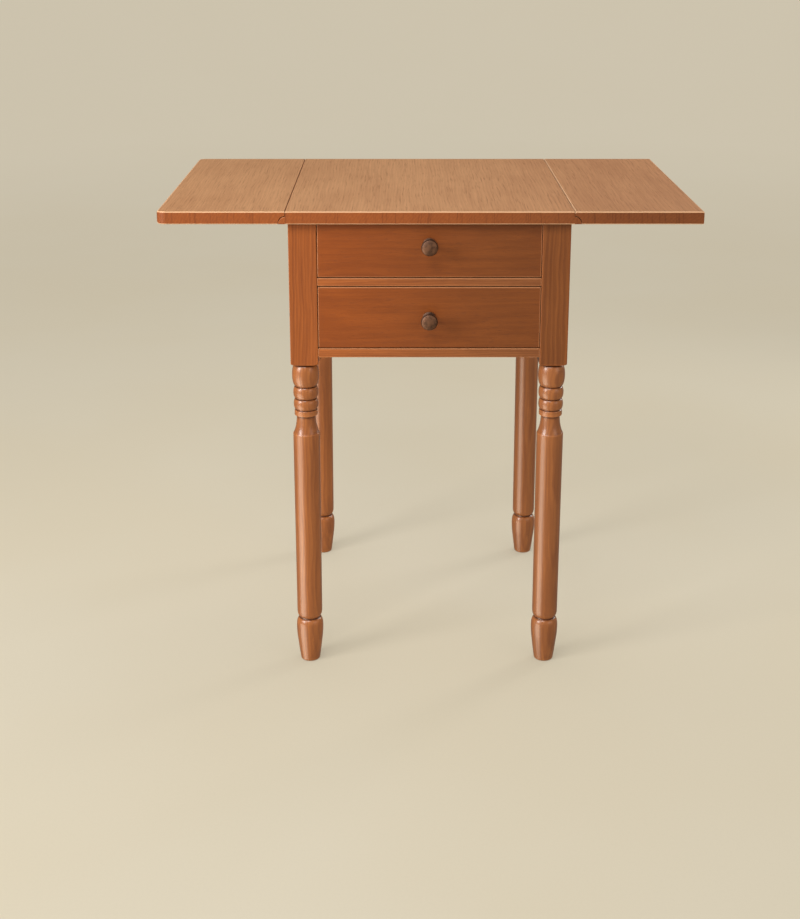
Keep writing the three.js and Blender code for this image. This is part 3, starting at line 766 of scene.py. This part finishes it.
dress("drawer_divider_rail", [mat_rail, mat_rail_wear_highlight], 0.0010, 1)
for d in ("drawer_top", "drawer_bottom"):
    dress(f"{d}_front", [mat_front, mat_front_wear_highlight], 0.0011, 1)
    dress(f"{d}_back", [mat_inner_x], 0.0004)
    dress(f"{d}_bottom", [mat_inner_x], 0.0004)
    for side, sx in SIDES:
        dress(f"{d}_side_{side}", [mat_inner], 0.0003)


# ------------------------------------------------------------------ hinge screws
def make_screw(name, x, y, z, turn, body):
    """A slotted screw head of 7 mm, barely proud of the plate above it; it looks down."""
    rings = [(0.0, 1.2), (3.45, 1.2), (3.5, 0.0), (3.42, -0.12), (3.1, -0.24), (2.2, -0.36), (1.1, -0.4)]
    n = 40
    verts, faces = [(x, y, z + rings[0][1] * MM)], []
    for r, h in rings[1:]:
        verts += [(x + r * MM * math.cos(2 * math.pi * j / n), y + r * MM * math.sin(2 * math.pi * j / n), z + h * MM) for j in range(n)]
    verts.append((x, y, z - 0.00041))
    for j in range(n):
        k = (j + 1) % n
        faces.append((0, 1 + j, 1 + k))
        for i in range(len(rings) - 2):
            a, b = 1 + i * n, 1 + (i + 1) * n
            faces.append((a + j, a + k, b + k, b + j))
        faces.append((1 + (len(rings) - 2) * n + j, 1 + (len(rings) - 2) * n + k, len(verts) - 1))
    o = add_mesh(name, verts, faces, [mat_steel])
    slot = cutter(f"slot_{name}", (-0.0042, -0.00045, -0.0008), (0.0042, 0.00045, 0.0004))
    slot.location = (x, y, z)
    slot.rotation_euler = (0, 0, turn)
    slot.hide_viewport = False
    mod = o.modifiers.new("slot", "BOOLEAN")
    mod.operation = "DIFFERENCE"
    mod.solver = "EXACT"
    mod.object = slot
    bpy.context.view_layer.update()
    me = bpy.data.meshes.new_from_object(o.evaluated_get(bpy.context.evaluated_depsgraph_get()))
    o.modifiers.clear()
    o.data = me
    bpy.data.objects.remove(slot)
    crisp(o, 35)
    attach(o, body)
    return o


for side, sx in SIDES:
    for end in ENDS:
        lo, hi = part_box(f"hinge_plate_{end}_{side}")
        y = (lo.y + hi.y) / 2
        for i, (dx, dy) in enumerate(((187, -10), (187, 10), (199, 0))):
            make_screw(f"plate_screw_{end}_{side}_{i}", sx * dx * MM, y + dy * MM, UNDER, 0.4 + 1.1 * i + sx, "case")
        for i, (dx, dy) in enumerate(((256, 0), (242, -10), (228, 9))):
            make_screw(f"strap_screw_{end}_{side}_{i}", sx * dx * MM, y + dy * MM, UNDER, 0.9 + 0.7 * i - sx, f"leaf_{side}")


# ------------------------------------------------------------------ knobs
KNOB = (
    [(3.9, -1.0), (9.7, 0.0), (10.1, 0.35), (10.25, 0.9), (10.1, 1.6)]
    + curve([(9.8, 2.1), (8.8, 3.0), (7.3, 3.9), (6.1, 5.4), (5.4, 7.6), (5.1, 10.4), (5.5, 13.6), (6.7, 16.2), (8.9, 18.2), (11.2, 19.5)], 4)
    + curve([(12.0, 20.4), (12.4, 21.6), (12.5, 23.0), (12.2, 24.7), (11.4, 26.0), (10.4, 26.8)], 4)
    + curve([(10.1, 26.9), (8.6, 27.5), (6.5, 28.1), (4.0, 28.6), (2.0, 28.9), (0.5, 29.0)], 3)
)


def make_knob(d):
    lo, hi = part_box(f"{d}_knob")
    cx, cz = (lo.x + hi.x) / 2, (lo.z + hi.z) / 2
    tip = lo.y
    n = 72
    verts, faces = [], []
    for r, h in KNOB:
        for j in range(n):
            a = 2 * math.pi * j / n
            verts.append((cx + r * MM * math.cos(a), tip + (29 - h) * MM, cz + r * MM * math.sin(a)))
    for i in range(len(KNOB) - 1):
        for j in range(n):
            k = (j + 1) % n
            faces.append((i * n + j, i * n + k, (i + 1) * n + k, (i + 1) * n + j))
    base = len(verts)
    verts += [(cx, tip + 0.030, cz), (cx, tip, cz)]
    last = (len(KNOB) - 1) * n
    for j in range(n):
        k = (j + 1) % n
        faces.append((base, k, j))
        faces.append((base + 1, last + j, last + k))
    o = add_mesh(f"{d}_knob_turned", verts, faces, [mat_knob, mat_knob_painted_shade])
    # Painted shade: the neck and the rim take the darker copy of the metal, for the shade and outline on the knob's
    # sides; the face and the edge of the base keep the lighter metal.
    for p in o.data.polygons:
        h = 29 - (p.center.y - tip) / MM
        p.material_index = 1 if 2.4 < h < 26.0 else 0
    piece(o, d, "knob_metal", f"{d}_knob")


for d in ("drawer_top", "drawer_bottom"):
    make_knob(d)


# ------------------------------------------------------------------ floor, light, camera
def make_floor():
    """A wide flat floor that curves up into a wall all round, with no horizon."""
    rings = [(r, 0.0) for r in (0.4, 0.8, 1.4, 2.2, 3.2, 4.4, 5.6)]
    for i in range(1, 15):
        a = math.radians(90 * i / 14)
        rings.append((5.6 + 3.0 * math.sin(a), 3.0 * (1 - math.cos(a))))
    rings += [(8.6, 4.5), (8.6, 7.0)]
    n = 96
    verts = [(0.0, 0.0, 0.0)]
    for r, z in rings:
        verts += [(r * math.cos(2 * math.pi * j / n), r * math.sin(2 * math.pi * j / n), z) for j in range(n)]
    faces = [(0, 1 + j, 1 + (j + 1) % n) for j in range(n)]
    for i in range(len(rings) - 1):
        for j in range(n):
            k = (j + 1) % n
            faces.append((1 + i * n + j, 1 + (i + 1) * n + j, 1 + (i + 1) * n + k, 1 + i * n + k))
    m = Nodes("paper_floor")
    p = m.position()
    cloud = m.noise(p, 1.1, 3, 0.5)
    grain = m.noise(p, 240, 3, 0.6)
    paper = srgb(208, 200, 180)
    c = m.mix(m.spread(cloud, 0.3, 0.7), times(paper, (1.0, 1.0, 1.0)), times(paper, (0.985, 0.97, 0.94)))
    c = m.mix(m.math("MULTIPLY", m.spread(grain, 0.4, 0.7), 0.06), c, times(paper, 0.8))
    m.put(m.bsdf.inputs["Base Color"], m.mix(1.0, c, (0.46, 0.455, 0.46, 1), "MULTIPLY"))
    m.bsdf.inputs["Roughness"].default_value = 0.9
    m.bsdf.inputs["Specular IOR Level"].default_value = 0.1
    far = m.spread(m.vmath("LENGTH", p), 1.0, 6.0)
    # Painted shadow: the paper's glow darkens where the occlusion node finds the table close by, a contact shadow round
    # the feet.
    paper_painted_shadow = m.mix(m.math("MULTIPLY", m.math("SUBTRACT", 1.0, m.occlusion(0.14, 12)), 1.0, clamp=True), c, times(paper, (0.62, 0.64, 0.62)))
    m.put(m.bsdf.inputs["Emission Color"], m.mix(far, paper_painted_shadow, times(paper, (1.19, 1.19, 1.21))))
    m.bsdf.inputs["Emission Strength"].default_value = 0.64
    o = add_mesh("floor", verts, faces, [m.mat])
    # Polished wood mirrors the studio's lights, and not the bright paper, as with a dark card held out of view.
    o.visible_glossy = False
    o.visible_shadow = False


make_floor()


def area(name, at, target, size, power, colour=(1, 1, 1), diffuse=True, spread=180):
    data = bpy.data.lights.new(name, "AREA")
    data.shape = "RECTANGLE"
    data.size, data.size_y = size
    data.energy = power
    data.spread = math.radians(spread)
    data.color = colour
    o = bpy.data.objects.new(name, data)
    o.location = at
    o.rotation_euler = (Vector(target) - Vector(at)).to_track_quat("-Z", "Y").to_euler()
    o.visible_camera = False
    o.visible_diffuse = diffuse
    bpy.context.scene.collection.objects.link(o)
    return o


area("key", (-2.2, -1.5, 1.5), (0.0, -0.1, 0.4), (0.9, 1.6), 38, (1.0, 0.985, 0.96), spread=150)
area("high_front", (-0.7, -1.7, 2.5), (0, -0.1, 0.6), (1.1, 0.9), 23, (1.0, 0.985, 0.96))
area("window", (-1.55, -1.0, -0.72), (0.0, -0.1, 0.2), (1.5, 1.4), 22, (1.0, 0.93, 0.76), False)
area("fill", (2.4, -2.2, 1.4), (0, 0, 0.5), (1.6, 1.6), 7, (0.96, 0.98, 1.0))
area("rim", (1.5, 1.1, 1.25), (0.1, 0, 0.4), (0.5, 1.4), 6, (1.0, 0.98, 0.95), spread=130)
area("overhead", (0.2, 0.9, 2.9), (0, 0.1, 0.7), (1.8, 1.8), 13, (1.0, 0.99, 0.97))

world = bpy.data.worlds.new("studio")
world.use_nodes = True
back = world.node_tree.nodes["Background"]
back.inputs[0].default_value = (*srgb(225, 218, 200)[:3], 1)
back.inputs[1].default_value = 0.22
bpy.context.scene.world = world
bpy.context.scene.view_settings.view_transform = "Standard"
bpy.context.scene.view_settings.look = "None"

cam = bpy.data.cameras.new("camera")
cam.sensor_width = 36
cam.lens = 57.13
cam.shift_y = -0.136
cam.clip_end = 50
cam_o = bpy.data.objects.new("camera", cam)
cam_o.location = (-0.0437, TOP_Y[0] - 2.1, 1.1524)
cam_o.rotation_euler = (math.radians(90 - 15.925), 0, 0)
bpy.context.scene.collection.objects.link(cam_o)
bpy.context.scene.camera = cam_o
